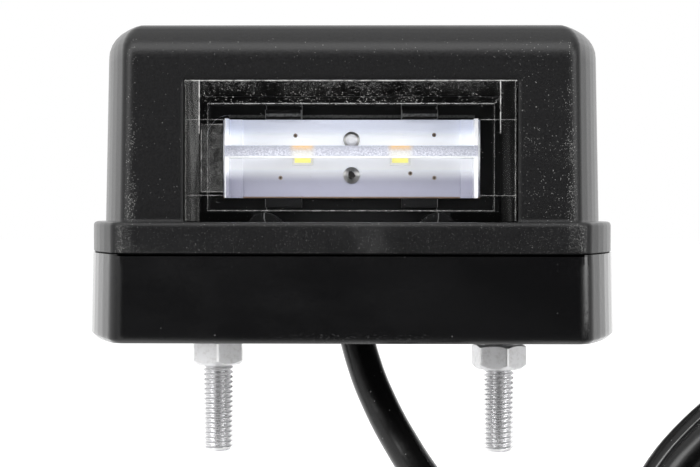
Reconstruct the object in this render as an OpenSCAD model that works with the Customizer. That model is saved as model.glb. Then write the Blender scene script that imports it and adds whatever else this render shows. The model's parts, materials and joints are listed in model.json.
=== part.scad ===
// Car number plate lamp: bow-ended drafted housing, flush clear window over a two-diode
// light board, two threaded studs below and a round cable out of the underside.
// X runs along the lamp, the window faces -Y, +Z is up, and the origin is the middle of
// the mounting face.

/* [Housing] */
// Overall width at the foot
body_w = 84; // [78:0.5:110]
// Overall depth at the foot
body_d = 48; // [44:0.5:56]
// Plan radius of the bowed ends
end_bow = 46; // [40:1:70]
// Plan radius of the four corners of the base and rim
corner_r = 2.5; // [1.5:0.1:3.5]
// Height of the base below the seam
base_h = 13.2; // [12:0.1:16]
// Height of the cover's rim above the seam
rim_h = 4.8; // [4:0.1:6]
// Height of the hood above the rim
hood_h = 29.8; // [28:0.1:36]
// Width of the ledge round the hood's foot
ledge = 1.9; // [1.4:0.1:2.6]
// Mould draft of the hood and base walls, in degrees
draft = 1.2; // [0:0.1:2]
// Radius of the hood's top edge
hood_fillet = 4; // [2.5:0.1:5]
// Plan radius of the hood's four corners
hood_corner = 2.2; // [1.5:0.1:3]
// Wall of the cover
wall = 2; // [1.6:0.1:2.4]
// Thickness of the base floor
floor_t = 3; // [2.4:0.1:4]
// Chamfer round the underside
foot_chamfer = 0.7; // [0.3:0.1:1.2]
// Chamfer of the rim at the seam
seam_chamfer = 0.25; // [0.1:0.05:0.5]
// Rounding of the rim's upper edge
rim_round = 0.5; // [0.2:0.1:0.8]
// Wall of the base's spigot inside the rim
spigot_t = 1.2; // [1:0.1:2]
// Height of the spigot above the seam
spigot_h = 2.2; // [1:0.1:2.6]
// Clearance between the spigot and the rim
spigot_gap = 0.1; // [0.05:0.05:0.3]

/* [Window] */
// Width of the window
window_w = 49.9; // [47:0.1:54]
// Height of the window above the rim
window_h = 21.3; // [20.5:0.1:23]
// Corner radius of the window
window_r = 0.4; // [0.4:0.1:2]
// Clearance round the lens
lens_gap = 0.12; // [0.05:0.01:0.3]
// How far the lens flange laps behind the wall
flange_lap = 1.5; // [1:0.1:2]
// Thickness of the lens flange
flange_t = 1.2; // [1:0.1:2]
// Width of the well behind the lens
well_w = 43.3; // [42:0.1:46]
// Height of the well behind the lens
well_h = 16.3; // [15:0.1:17]
// How far the well's middle lies below the lens's middle
well_drop = 0.85; // [0:0.05:1.2]
// Wall of the well
well_t = 1.2; // [0.8:0.1:1.4]
// Depth of the well behind the flange
well_d = 4.6; // [3:0.1:5]
// Width of the plain pad on the lens
pad_w = 3.3; // [2:0.1:4]
// Height of the plain pad on the lens
pad_h = 9.9; // [6:0.1:12]
// Thickness of the plain pad on the lens
pad_t = 0.15; // [0.1:0.05:0.3]

/* [Light board] */
// Width of the light board
board_w = 40.1; // [36:0.1:42]
// Height of the light board
board_h = 12.2; // [11:0.1:13.5]
// Thickness of the light board
board_t = 1.6; // [1:0.1:2]
// Distance of the board's face behind the front wall at the rim
board_depth = 12; // [11:0.1:13]
// Distance between the two diodes
led_spacing = 15.1; // [10:0.1:20]
// Width of a diode package
led_w = 3.3; // [3:0.1:5]
// Height of a diode package
led_h = 2.8; // [2:0.1:3.5]
// Thickness of a diode package
led_t = 1.9; // [1.2:0.1:2.2]
// Height of the diodes' middle above the board's middle
led_rise = 0.35; // [0:0.05:0.6]
// Wall of a diode package round its recess
led_wall = 0.4; // [0.3:0.05:0.6]
// Width of the frosted bar in front of the diodes
bar_w = 39; // [34:0.1:40]
// Height of the frosted bar in front of the diodes
bar_h = 1.9; // [1.5:0.1:3]
// Thickness of the frosted bar
bar_t = 1.5; // [1:0.1:1.8]
// Height of the bar's middle above the board's middle
bar_rise = 1; // [0:0.1:2]
// Wall of the bar's two end frames
end_t = 0.6; // [0.4:0.1:1]
// Width of the bar's end plates on the board
plate_w = 2.5; // [1:0.1:3]
// Half the distance between the two solder joints
joint_rise = 2.75; // [2.5:0.05:3.2]
// Height of the joints' middle above the board's middle
joint_shift = 0.2; // [0:0.05:0.4]
// Diameter of a solder joint
joint_d = 2.6; // [2:0.1:3]
// Wall of the carrier round the board
carrier_t = 1.5; // [1:0.1:2]
// Overall width of the carrier
carrier_w = 58; // [50:0.5:60]
// Width of a carrier clip
clip_w = 5.6; // [3:0.1:7]
// Distance between the carrier clips
clip_spacing = 21.2; // [16:0.1:24]
// Diameter of the carrier's round pegs
peg_d = 6; // [4:0.1:7]
// Distance between the round pegs
peg_spacing = 26.8; // [24:0.1:30]

/* [Studs] */
// Distance between the studs
stud_spacing = 46; // [40:0.5:50]
// Shift of both studs from the middle of the housing
stud_shift = 1; // [-2:0.1:2]
// Thread diameter of the studs
stud_d = 5; // [4:0.5:6]
// Unthreaded blank diameter of the studs
blank_d = 4.48; // [3.5:0.01:5.4]
// How far the studs stand out
stud_out = 19.6; // [15:0.1:25]
// Side of the square stud head
head_w = 8; // [7:0.1:9]
// Thickness of the stud head
head_t = 2.5; // [2:0.1:3]
// Wall of the boss round the stud head
boss_t = 1.6; // [1:0.1:2]
// Diameter of the shallow relief round each stud
relief_d = 10.4; // [9.6:0.1:11]
// Depth of the relief round each stud
relief_t = 0.3; // [0.1:0.1:0.6]
// Nut width across flats
nut_af = 8; // [7:0.5:10]
// Nut height
nut_h = 4; // [3:0.1:5]
// Gap above the left nut
nut_gap_left = 1.4; // [0:0.05:6]
// Gap above the right nut
nut_gap_right = 2.05; // [0:0.05:6]
// Turn of the left nut
nut_turn_left = 30; // [-30:1:30]
// Turn of the right nut
nut_turn_right = -12; // [-30:1:30]

/* [Cable] */
// Cable diameter
cable_d = 5.6; // [5:0.1:6]
// Mid-line radius of the coiled cable
coil_r = 33.2; // [30:0.1:45]
// Turns in the coil
coil_turns = 2.125; // [1.125:1:3.125]
// Spacing of the coiled turns
turn_pitch = 5.7; // [5.6:0.1:7]
// Core diameter
core_d = 2; // [1.6:0.1:2.4]
// Bared conductor diameter
strand_d = 1.1; // [0.8:0.1:1.4]
// Diameter of the rubber grommet in the floor
grommet_d = 9.6; // [9:0.1:11]
// How far the grommet lies above the mounting face
grommet_recess = 0.3; // [0.1:0.1:0.8]
// Flange of the grommet past its body
grommet_lip = 1.4; // [1:0.1:2]
// Clearance of the cable in the grommet
grommet_gap = 0.3; // [0.3:0.05:0.5]
// Width of the cable tie
tie_w = 3.6; // [2.5:0.1:5]
// Thickness of the cable tie
tie_t = 1; // [0.8:0.1:1.5]
// Slack of the coil's outer shape round its turns
coil_slack = 0.25; // [0.1:0.05:0.5]

/* [Hidden] */

$fn = 48;
end_steps = 16;
corner_steps = 6;
fillet_steps = 7;
eps = 0.01;

rim_z = base_h + rim_h;
top_z = rim_z + hood_h;
// Insets of the skins from the plan outline at the foot
base_taper = base_h * tan(draft);
rim_inset = base_taper + 0.12;
hood_inset = rim_inset + ledge;
cavity_inset = rim_inset + wall + spigot_gap + spigot_t;
rim_floor_z = rim_z - wall;
inner_corner = 0.5;

// The tilted frame of the front wall, from the rim up
front_y = hood_inset - body_d / 2;
lens_w = window_w - 2 * lens_gap;
lens_h = window_h - 2 * lens_gap;
lens_mid = lens_gap + lens_h / 2;
well_mid = lens_mid - well_drop;

// The light board
board_y = front_y + board_depth;
board_z = rim_z + window_h / 2 - 0.9;
frame_y = board_y + board_t;
carrier_h = board_h + 4 * carrier_t - 1.3;
leg_w = 3;
peg_drop = 1.7;

// Threads and nuts
thread_top_left = -nut_gap_left - nut_h;
thread_top_right = -nut_gap_right - nut_h;
stud_chamfer = 0.5;

// Electronics on the back of the board
chip_l = 3.2;
chip_w = 1.6;
chip_t = 0.6;
diode_l = 4.3;
diode_w = 2.6;
diode_t = 2.2;
wire_bend = 3;
wire_side = 1.4;

// Route of the cable from inside the floor to the coil
cable_route = [[-0.3, 0.7, 8], [-0.3, 0.7, 6.5], [-0.2, 0.5, 3.5], [0.35, 0.1, 0.6],
  [1.05, -0.6, -2.2], [1.9, -1.6, -5], [3, -3, -8], [4.4, -4.8, -11], [6, -6.9, -14],
  [7.9, -9.6, -17], [10, -12.6, -20], [13.9, -18.8, -24.6], [18.2, -25.5, -29.5],
  [22.5, -32, -33.8], [27, -38, -38], [31.6, -43.6, -42.2], [36.5, -48, -46.7],
  [41.6, -51, -51.9], [47, -52, -57.3]];
cable_sides = 12;
grommet_at = [0, 0.4];
bore_top = [-0.32, 0.62, 4.4];
bore_foot = [0.55, -0.08, 0];
coil_centre = [70.5, -52, -33.8];
coil_d = cable_d + 2 * coil_slack;
coil_len = coil_turns * turn_pitch + coil_d;
tail_y = coil_centre[1] + coil_turns * turn_pitch;
tail_z = coil_centre[2] - coil_r;
tail_len = 24;
core_len = 9;
strand_len = 6;
tie_angle = 20;
tie_head = 5;

function unit(v) = v / norm(v);

function joint_z(side) = board_z + joint_shift + side * joint_rise;

function stud_x(side) = stud_shift + side * stud_spacing / 2;

function arc(cx, cy, r, from, to, steps, skip = 0) =
  [for (i = [skip : steps - skip])
    let (a = from + (to - from) * i / steps) [cx + r * cos(a), cy + r * sin(a)]];

// Plan outline with flat sides and bowed ends, set in from the foot's outline
function outline(inset, corner) =
  let (
    w = body_w / 2 - inset,
    d = body_d / 2 - inset,
    bow = end_bow - inset,
    cx = w - bow,
    ky = d - corner,
    kx = cx + sqrt(pow(bow - corner, 2) - ky * ky),
    turn = asin(ky / (bow - corner))
  )
  concat(
    arc(kx, -ky, corner, -90, -turn, corner_steps),
    arc(cx, 0, bow, -turn, turn, end_steps, 1),
    arc(kx, ky, corner, turn, 90, corner_steps),
    arc(-kx, ky, corner, 90, 180 - turn, corner_steps),
    arc(-cx, 0, bow, 180 - turn, 180 + turn, end_steps, 1),
    arc(-kx, -ky, corner, 180 + turn, 270, corner_steps)
  );

function ring(z, inset, corner) =
  [for (p = outline(inset, corner)) [p[0], p[1], z]];

// Closed skin through rings that all have the same number of points
module loft(rings) {
  n = len(rings[0]);
  m = len(rings);
  polyhedron(
    points = [for (r = rings) each r],
    faces = concat(
      [[for (i = [0 : n - 1]) i]],
      [for (k = [0 : m - 2], i = [0 : n - 1])
        [k * n + i, (k + 1) * n + i, (k + 1) * n + (i + 1) % n]],
      [for (k = [0 : m - 2], i = [0 : n - 1])
        [k * n + i, (k + 1) * n + (i + 1) % n, k * n + (i + 1) % n]],
      [[for (i = [n - 1 : -1 : 0]) (m - 1) * n + i]]
    )
  );
}

function hood_at(z) = hood_inset + (z - rim_z) * tan(draft);

// Rings of the hood from the rim to its rounded top, set in by the wall for the cavity
function hood_rings(foot_z, inset, corner, fillet) =
  let (spring_z = top_z - inset - fillet)
  concat(
    [ring(foot_z, hood_at(foot_z) + inset, corner)],
    [for (i = [0 : fillet_steps])
      let (a = 90 * i / fillet_steps)
      ring(spring_z + fillet * sin(a),
        hood_at(spring_z) + inset + fillet * (1 - cos(a)),
        max(corner - fillet * (1 - cos(a)) / 2, inner_corner))]
  );

module plan(inset, corner) {
  polygon(outline(inset, corner));
}

// Box centred in X that starts at y and z
module slab(w, d, h, y = 0, z = 0, x = 0) {
  translate([x - w / 2, y, z])
    cube([w, d, h]);
}

module base_housing() {
  color("#17181a")
    difference() {
      union() {
        intersection() {
          translate([-body_w, -body_d, 0])
            cube([2 * body_w, 2 * body_d, base_h]);
          loft([
            ring(-foot_chamfer, 2 * foot_chamfer, corner_r),
            ring(foot_chamfer, 0, corner_r),
            ring(base_h + 1, (base_h + 1) * tan(draft), corner_r)
          ]);
        }
        linear_extrude(base_h + spigot_h)
          plan(cavity_inset - spigot_t, inner_corner);
      }
      difference() {
        translate([0, 0, floor_t])
          linear_extrude(rim_z)
            plan(cavity_inset, inner_corner);
        for (side = [-1, 1])
          translate([stud_x(side), 0, 0])
            cylinder(h = floor_t + head_t, r = head_w * sqrt(0.5) + boss_t);
        translate([grommet_at[0], grommet_at[1], 0])
          cylinder(h = floor_t + grommet_lip, r = grommet_d / 2 + grommet_lip + boss_t);
      }
      for (side = [-1, 1])
        translate([stud_x(side), 0, 0]) {
          translate([0, 0, -eps])
            cylinder(h = floor_t + head_t, d = blank_d);
          translate([0, 0, -eps])
            cylinder(h = relief_t + eps, d = relief_d);
          translate([-head_w / 2, -head_w / 2, floor_t])
            cube([head_w, head_w, head_t + eps]);
        }
      translate([grommet_at[0], grommet_at[1], 0]) {
        translate([0, 0, -eps])
          cylinder(h = floor_t + grommet_lip, d = grommet_d);
        translate([0, 0, floor_t])
          cylinder(h = grommet_lip + eps, d = grommet_d + 2 * grommet_lip);
      }
    }
}

module cover() {
  color("#232426")
    difference() {
      loft(concat(
        [ring(base_h, rim_inset + seam_chamfer, corner_r),
          ring(base_h + seam_chamfer, rim_inset, corner_r),
          ring(rim_z - rim_round, rim_inset, corner_r),
          ring(rim_z - rim_round * 0.3, rim_inset + rim_round * 0.3, corner_r),
          ring(rim_z, rim_inset + rim_round, corner_r)],
        hood_rings(rim_z, 0, hood_corner, hood_fillet)
      ));
      translate([0, 0, base_h - eps])
        linear_extrude(rim_floor_z - base_h + eps)
          plan(rim_inset + wall, inner_corner);
      loft(hood_rings(rim_floor_z - eps, wall, inner_corner, hood_fillet - wall));
      front_frame()
        translate([0, -body_d / 4, 0])
          window_block(window_w, window_h, body_d / 4 + wall + 1, window_r);
    }
}

// The frame of the sloping front wall: x along it, y into it and z up it
module front_frame() {
  translate([0, front_y, rim_z])
    rotate([-draft, 0, 0])
      children();
}

// Block with rounded corners that runs along y
module window_block(w, h, d, r) {
  translate([0, d, h / 2])
    rotate([90, 0, 0])
      linear_extrude(d)
        rounded(w, h, r);
}

module rounded(w, h, r) {
  square([w - 2 * r, h], center = true);
  square([w, h - 2 * r], center = true);
  for (x = [-1, 1], y = [-1, 1])
    translate([x * (w / 2 - r), y * (h / 2 - r)])
      circle(r);
}

module lens() {
  color("#dfe6e8", 0.45)
    front_frame()
      difference() {
        union() {
          translate([0, 0, lens_gap])
            window_block(lens_w, lens_h, wall + flange_t, window_r - lens_gap);
          slab(window_w + 2 * flange_lap, flange_t, window_h + flange_lap - lens_gap,
            wall, lens_gap);
          slab(well_w + 2 * well_t, well_d, well_h + 2 * well_t, wall + flange_t,
            well_mid - well_h / 2 - well_t);
          translate([0.3 - well_w / 2, -pad_t, lens_mid - pad_h / 2 + 0.3])
            pad();
        }
        slab(well_w, well_d + eps, well_h, wall + flange_t, well_mid - well_h / 2);
      }
}

// Plain raised pad with one rounded upper corner
module pad() {
  difference() {
    cube([pad_w, pad_t + eps, pad_h]);
    translate([0, 0, pad_h - pad_w])
      rotate([-90, 0, 0])
        difference() {
          translate([-eps, -pad_w - eps, -1])
            cube([pad_w + eps, pad_w + eps, pad_t + 2]);
          translate([pad_w, 0, -1])
            cylinder(h = pad_t + 2, r = pad_w);
        }
  }
}

module board_frame() {
  frame_h = carrier_h;
  color("#1b1b1d")
    difference() {
      union() {
        // Back plate behind the board, with its side wings
        slab(carrier_w, carrier_t, board_h - 1.3, frame_y, board_z - (board_h - 1.3) / 2);
        // Box round the board
        slab(board_w + 2 * carrier_t + 3, carrier_t, frame_h, frame_y, board_z - frame_h / 2);
        // Clips above and below the board
        for (x = [-1, 1], z = [-1, 1])
          slab(clip_w, board_t + carrier_t + eps, carrier_t, board_y - carrier_t,
            board_z + z * (board_h + carrier_t) / 2 - carrier_t / 2, x * clip_spacing / 2);
        // Legs down to the floor
        for (x = [-1, 1])
          slab(leg_w, carrier_t, board_z - floor_t, frame_y, floor_t,
            x * (board_w / 2 - 2 * leg_w));
        // Round pegs that reach towards the lens
        for (x = [-1, 1])
          translate([x * peg_spacing / 2, frame_y + carrier_t, rim_z - peg_drop])
            rotate([90, 0, 0])
              cylinder(h = board_t + carrier_t + 2.4, d = peg_d);
        slab(peg_spacing, carrier_t, board_z - rim_z, frame_y, rim_z - peg_drop);
      }
      // Opening for the parts and wires on the back of the board
      slab(board_w - 4 * leg_w + 6, carrier_t + 2, board_h - 4, frame_y - 1,
        board_z - (board_h - 4) / 2);
    }
}

module light_board() {
  color("#e9eaf0")
    difference() {
      slab(board_w, board_t, board_h, board_y, board_z - board_h / 2);
      for (z = [-1, 1])
        translate([0, frame_y + 1, joint_z(z)])
          rotate([90, 0, 0])
            cylinder(h = board_t + 2, d = core_d);
    }
}

// Frosted bar between two end frames that stand on the board's ends
module diffuser_bar() {
  bar_depth = led_t + bar_t + 0.1;
  color("#c9c6d8", 0.8) {
    slab(bar_w, bar_t, bar_h, board_y - bar_depth, board_z + bar_rise - bar_h / 2);
    for (x = [-1, 1]) {
      slab(end_t, bar_depth, board_h, board_y - bar_depth, board_z - board_h / 2,
        x * (bar_w - end_t) / 2);
      slab(plate_w, end_t, board_h, board_y - end_t, board_z - board_h / 2,
        x * (bar_w - plate_w) / 2);
    }
  }
}

module led(side) {
  color("#f6f2a0")
    difference() {
      slab(led_w, led_t, led_h, board_y - led_t, board_z + led_rise - led_h / 2,
        side * led_spacing / 2);
      slab(led_w - 2 * led_wall, led_wall + eps, led_h - 2 * led_wall,
        board_y - led_t - eps, board_z + led_rise - led_h / 2 + led_wall,
        side * led_spacing / 2);
    }
}

module solder(side) {
  color("#c8c8cc")
    translate([0, board_y, joint_z(side)])
      rotate([90, 0, 0])
        rotate_extrude()
          polygon([[0, 0], [joint_d / 2, 0], [joint_d / 2, 0.15], [joint_d / 2 - 0.4, 0.45],
            [core_d / 4, 0.8], [0, 0.8]]);
}

// Core of the cable that rises behind the board and turns into it
module wire(y, z) {
  x = cable_route[0][0];
  foot_z = cable_route[0][2];
  run = y - board_y - wire_bend;
  translate([x, y, foot_z])
    cylinder(h = z - wire_bend - foot_z, d = core_d - 0.4);
  translate([x, y - wire_bend, z - wire_bend])
    rotate([0, -90, 0])
      rotate_extrude(angle = 90)
        translate([wire_bend, 0])
          circle(d = core_d - 0.4);
  translate([x, y - wire_bend, z])
    rotate([90, 0, 0])
      cylinder(h = run, d = core_d - 0.4);
}

module wire_upper() {
  color("#b3322a")
    translate([-cable_route[0][0], 0, 0])
      wire(cable_route[0][1] + wire_side, joint_z(1));
}

module wire_lower() {
  color("#2a2a2c")
    translate([-cable_route[0][0], 0, 0])
      wire(cable_route[0][1] - wire_side, joint_z(-1));
}

module chip(x) {
  color("#2b2b2e")
    slab(chip_l, chip_t, chip_w, frame_y, board_z - chip_w / 2, x);
}

module diode() {
  color("#232325")
    slab(diode_l, diode_t, diode_w, frame_y, board_z - diode_w / 2, -board_w / 4);
}

module stud(side, thread_top) {
  color("#b9bcc2")
    translate([stud_x(side), 0, 0]) {
      translate([-head_w / 2, -head_w / 2, floor_t])
        cube([head_w, head_w, head_t]);
      translate([0, 0, thread_top])
        cylinder(h = floor_t - thread_top, d = blank_d);
      translate([0, 0, -stud_out])
        rotate_extrude()
          polygon([[0, 0], [stud_d / 2 - stud_chamfer, 0], [stud_d / 2, stud_chamfer],
            [stud_d / 2, stud_out + thread_top], [0, stud_out + thread_top]]);
    }
}

// Hexagon nut with both faces chamfered
module nut(side, gap, turn) {
  corner = nut_af / 2 / cos(30);
  trim = corner - nut_af / 2 + 0.15;
  slope = trim * tan(30);
  color("#c2c5ca")
    translate([stud_x(side), 0, -gap - nut_h])
      rotate([0, 0, turn])
        difference() {
          intersection() {
            cylinder(h = nut_h, r = corner, $fn = 6);
            rotate_extrude()
              polygon([[0, 0], [corner - trim, 0], [corner, slope], [corner, nut_h - slope],
                [corner - trim, nut_h], [0, nut_h]]);
          }
          translate([0, 0, -1])
            cylinder(h = nut_h + 2, d = blank_d);
        }
}

// Rubber bush in the floor, flanged inside
module cable_grommet() {
  color("#161616")
    difference() {
      translate([grommet_at[0], grommet_at[1], 0]) {
        translate([0, 0, grommet_recess])
          cylinder(h = floor_t - grommet_recess, d = grommet_d);
        translate([0, 0, floor_t])
          cylinder(h = grommet_lip, d = grommet_d + 2 * grommet_lip);
      }
      rod_between(2 * bore_top - bore_foot, 2 * bore_foot - bore_top,
        cable_d + 2 * grommet_gap);
    }
}

// Straight rod from one point to another
module rod_between(from, to, d) {
  along = to - from;
  translate(from)
    rotate([0, acos(along[2] / norm(along)), atan2(along[1], along[0])])
      cylinder(h = norm(along), d = d);
}

// Tube swept along a route, with a ring of points at each of its points
module sweep(route, d, sides) {
  lean = [0.8, 0.5, 0.33];
  last = len(route) - 1;
  loft([for (k = [0 : last])
    let (
      along = unit(route[min(k + 1, last)] - route[max(k - 1, 0)]),
      across = unit(cross(along, lean)),
      up = cross(along, across)
    )
    [for (i = [sides - 1 : -1 : 0])
      route[k] + d / 2 * (cos(360 * i / sides) * across + sin(360 * i / sides) * up)]]);
}

module cable() {
  color("#1a1a1c")
    difference() {
      sweep(cable_route, cable_d, cable_sides);
      coil_form();
    }
}

// Outer shape of the coiled turns, side by side about an axis along y
module coil_form() {
  translate([coil_centre[0], coil_centre[1] - coil_d / 2, coil_centre[2]])
    rotate([-90, 0, 0])
      rotate_extrude($fn = 96)
        translate([coil_r, coil_len / 2])
          rounded(coil_d, coil_len, coil_d / 2 - 1);
}

module cable_coil() {
  color("#1a1a1c")
    coil_form();
}

module cable_tail() {
  color("#1a1a1c")
    difference() {
      translate([coil_centre[0], tail_y, tail_z])
        rotate([0, 90, 0])
          cylinder(h = tail_len, d = cable_d);
      coil_form();
    }
}

// Band round the coiled turns, with its locking head outside
module cable_tie() {
  color("#121213")
    translate(coil_centre)
      rotate([0, -tie_angle, 0])
        difference() {
          union() {
            translate([coil_r - coil_d / 2 - tie_t, -coil_d / 2 - tie_t, -tie_w / 2])
              cube([coil_d + 2 * tie_t, coil_len + 2 * tie_t, tie_w]);
            translate([coil_r + coil_d / 2, (coil_len - coil_d - tie_head) / 2, -tie_head / 2])
              cube([2 * tie_t + 1.4, tie_head, tie_head]);
          }
          rotate([0, tie_angle, 0])
            translate(-coil_centre)
              coil_form();
        }
}

module core(side) {
  translate([coil_centre[0] + tail_len, tail_y, tail_z + side * (core_d + 0.1) / 2])
    rotate([0, 90, 0]) {
      cylinder(h = core_len, d = core_d);
      cylinder(h = core_len + strand_len, d = strand_d);
    }
}

base_housing();
cover();
lens();
board_frame();
light_board();
diffuser_bar();
led(-1);  // led_left
led(1);  // led_right
solder(1);  // solder_upper
solder(-1);  // solder_lower
wire_upper();
wire_lower();
chip(-board_w / 8);  // resistor_left
chip(board_w / 8);  // resistor_right
diode();
stud(-1, thread_top_left);  // stud_left
stud(1, thread_top_right);  // stud_right
nut(-1, nut_gap_left, nut_turn_left);  // nut_left
nut(1, nut_gap_right, nut_turn_right);  // nut_right
cable_grommet();
cable();
cable_coil();
cable_tail();
cable_tie();
color("#8f5a32") core(1);  // core_upper
color("#2c4f86") core(-1);  // core_lower
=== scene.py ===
"""Looks of the number plate lamp: camera, cable, threads, nuts, board parts, materials and light."""
import json
import math

import bpy
from mathutils import Matrix, Vector


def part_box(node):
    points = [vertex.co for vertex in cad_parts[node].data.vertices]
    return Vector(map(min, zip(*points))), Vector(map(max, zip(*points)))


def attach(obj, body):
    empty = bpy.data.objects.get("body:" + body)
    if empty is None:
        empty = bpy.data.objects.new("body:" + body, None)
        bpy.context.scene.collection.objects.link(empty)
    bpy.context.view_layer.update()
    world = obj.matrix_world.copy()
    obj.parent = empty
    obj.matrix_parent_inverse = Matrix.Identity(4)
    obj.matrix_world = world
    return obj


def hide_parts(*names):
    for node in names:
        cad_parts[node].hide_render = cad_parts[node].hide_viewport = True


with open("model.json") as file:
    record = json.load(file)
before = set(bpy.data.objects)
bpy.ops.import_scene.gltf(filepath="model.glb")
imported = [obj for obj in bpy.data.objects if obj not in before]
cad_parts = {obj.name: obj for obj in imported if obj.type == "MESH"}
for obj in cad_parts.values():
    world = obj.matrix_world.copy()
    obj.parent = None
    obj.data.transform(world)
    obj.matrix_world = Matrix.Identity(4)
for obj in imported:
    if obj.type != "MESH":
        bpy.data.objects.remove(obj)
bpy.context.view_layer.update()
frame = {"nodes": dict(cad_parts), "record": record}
nodes = frame["nodes"]
scene = bpy.context.scene
MM = 0.001

# Sizes and places in millimetres, as in the part's source; COIL_START and TIE_ANGLE are in degrees
STUD_X = (-22.0, 24.0)
STUD_OUT = 19.6
STUD_R = 2.5
BLANK_R = 2.24
PITCH = 0.8
NUT_AF = 8.0
NUT_H = 4.0
NUT_GAPS = (1.4, 2.05)
CABLE_R = 2.8
COIL_R = 33.2
COIL_TURNS = 2.125
COIL_PITCH = 5.7
COIL_START = 225.0
COIL_CENTRE = Vector((70.5, -52.0, -33.8))
TAIL_LEN = 24.0
CORES_OUT = 9.01
TIE_ANGLE = 20.0
TIE_W = 3.6
SEAM_Z = 13.2
STUD_HEAD_Z = (2.9, 5.05, 5.45)
STUD_HEAD_HALF = 3.95
STUD_HEAD_CHAMFER = 0.4
ROUTE = [
    (-0.3, 0.7, 8), (-0.3, 0.7, 6.5), (-0.2, 0.5, 3.5), (0.35, 0.1, 0.6), (1.05, -0.6, -2.2),
    (1.9, -1.6, -5), (3, -3, -8), (4.4, -4.8, -11), (6, -6.9, -14), (7.9, -9.6, -17),
    (10, -12.6, -20), (13.9, -18.8, -24.6), (18.2, -25.5, -29.5), (22.5, -32, -33.8),
    (27, -38, -38), (31.6, -43.6, -42.2), (36.5, -48, -46.7), (41.6, -51, -51.9),
]

# What only the scene has: the nuts' turns in degrees, the thread, the close strap and the floor
NUT_TURNS = (35.0, -16.0)
THREAD_DEPTH = 0.46
THREAD_ROWS = 12
TIE_T = 0.9
TIE_FIT = 0.1
TIE_CHAMFER = 0.2
TIE_HEAD = 5.0
TIE_HEAD_TOP = 2.3
TIE_HEAD_EDGE = 0.4
TIE_END_OUT = 3.7
FLOOR_Z = COIL_CENTRE.z - COIL_R - CABLE_R
FLOOR_HALF = 4000
SQUARE = ((-1, -1), (1, -1), (1, 1), (-1, 1))

# Places on the light board, in millimetres, from its solids
BOARD_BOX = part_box("light_board")
BOARD_LOW = BOARD_BOX[0][2] * 1000
BOARD_Z = (BOARD_BOX[0][2] + BOARD_BOX[1][2]) * 500
LED_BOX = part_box("led_left")
LED_Z = (LED_BOX[0][2] + LED_BOX[1][2]) * 500
LED_X = -(LED_BOX[0][0] + LED_BOX[1][0]) * 500
BAR_Z = BOARD_Z + 1.0
JOINT_BOXES = [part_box(name) for name in ("solder_lower", "solder_upper")]
JOINTS_Z = [(low[2] + high[2]) * 500 for low, high in JOINT_BOXES]
VIAS = ((-8.77, 31.4), (12.88, 31.5), (-11.1, 24.8), (9.17, 25.5), (12.93, 24.8))
# Colour of the painted glow on the board and on the bar's end frames
GLOW = (0.95, 0.97, 1.0, 1)

# The photograph's width and the camera's focal length, in pixels
PHOTO_W = 700
FOCAL = 1453.5


def link(obj):
    scene.collection.objects.link(obj)
    return obj


def mesh_object(name, verts, faces):
    """A smooth-shaded mesh from places in millimetres."""
    mesh = bpy.data.meshes.new(name)
    mesh.from_pydata([Vector(v) * MM for v in verts], [], faces)
    mesh.validate()
    for polygon in mesh.polygons:
        polygon.use_smooth = True
    return link(bpy.data.objects.new(name, mesh))


# Camera at the photograph's place
camera_data = bpy.data.cameras.new("camera")
camera_data.sensor_fit = "HORIZONTAL"
camera_data.sensor_width = 36
camera_data.lens = FOCAL / PHOTO_W * camera_data.sensor_width
camera_data.clip_start = 0.01
camera_data.clip_end = 50
camera = link(bpy.data.objects.new("camera", camera_data))
camera.matrix_world = (
    Matrix.Translation((0.002935, -0.23794, 0.019885))
    @ Matrix.Rotation(0.01394, 4, "Z")
    @ Matrix.Rotation(math.pi / 2 - 0.01653, 4, "X")
    @ Matrix.Rotation(0.001, 4, "Z")
)
scene.camera = camera


# Cable: out of the floor, forward and down, then into a coil that stands on the floor
def cable_points():
    points = [Vector(p) for p in ROUTE]
    count = round(COIL_TURNS * 16)
    for i in range(count + 1):
        turn = COIL_TURNS * i / count
        a = math.radians(COIL_START + 360 * turn)
        around = Vector((COIL_R * math.cos(a), COIL_PITCH * turn, COIL_R * math.sin(a)))
        points.append(COIL_CENTRE + around)
    last = points[-1]
    for x in (8, 16, TAIL_LEN):
        points.append(last + Vector((x, 0, 0)))
    return points


def cable_curve():
    """The cable and its length. The points' radii carry its thickness."""
    data = bpy.data.curves.new("lead", "CURVE")
    data.dimensions = "3D"
    data.bevel_depth = 1.0
    data.bevel_resolution = 7
    data.resolution_u = 8
    data.use_fill_caps = True
    spline = data.splines.new("BEZIER")
    points = cable_points()
    spline.bezier_points.add(len(points) - 1)
    for point, place in zip(spline.bezier_points, points):
        point.co = place * MM
        point.radius = CABLE_R * MM
        point.handle_left_type = point.handle_right_type = "AUTO"
    length = sum((b - a).length for a, b in zip(points, points[1:])) * MM
    return link(bpy.data.objects.new("lead", data)), length


# Floor under the coil
floor_corners = [(x * FLOOR_HALF, y * FLOOR_HALF, FLOOR_Z) for x, y in SQUARE]
floor = mesh_object("floor", floor_corners, [(0, 1, 2, 3)])


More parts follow.
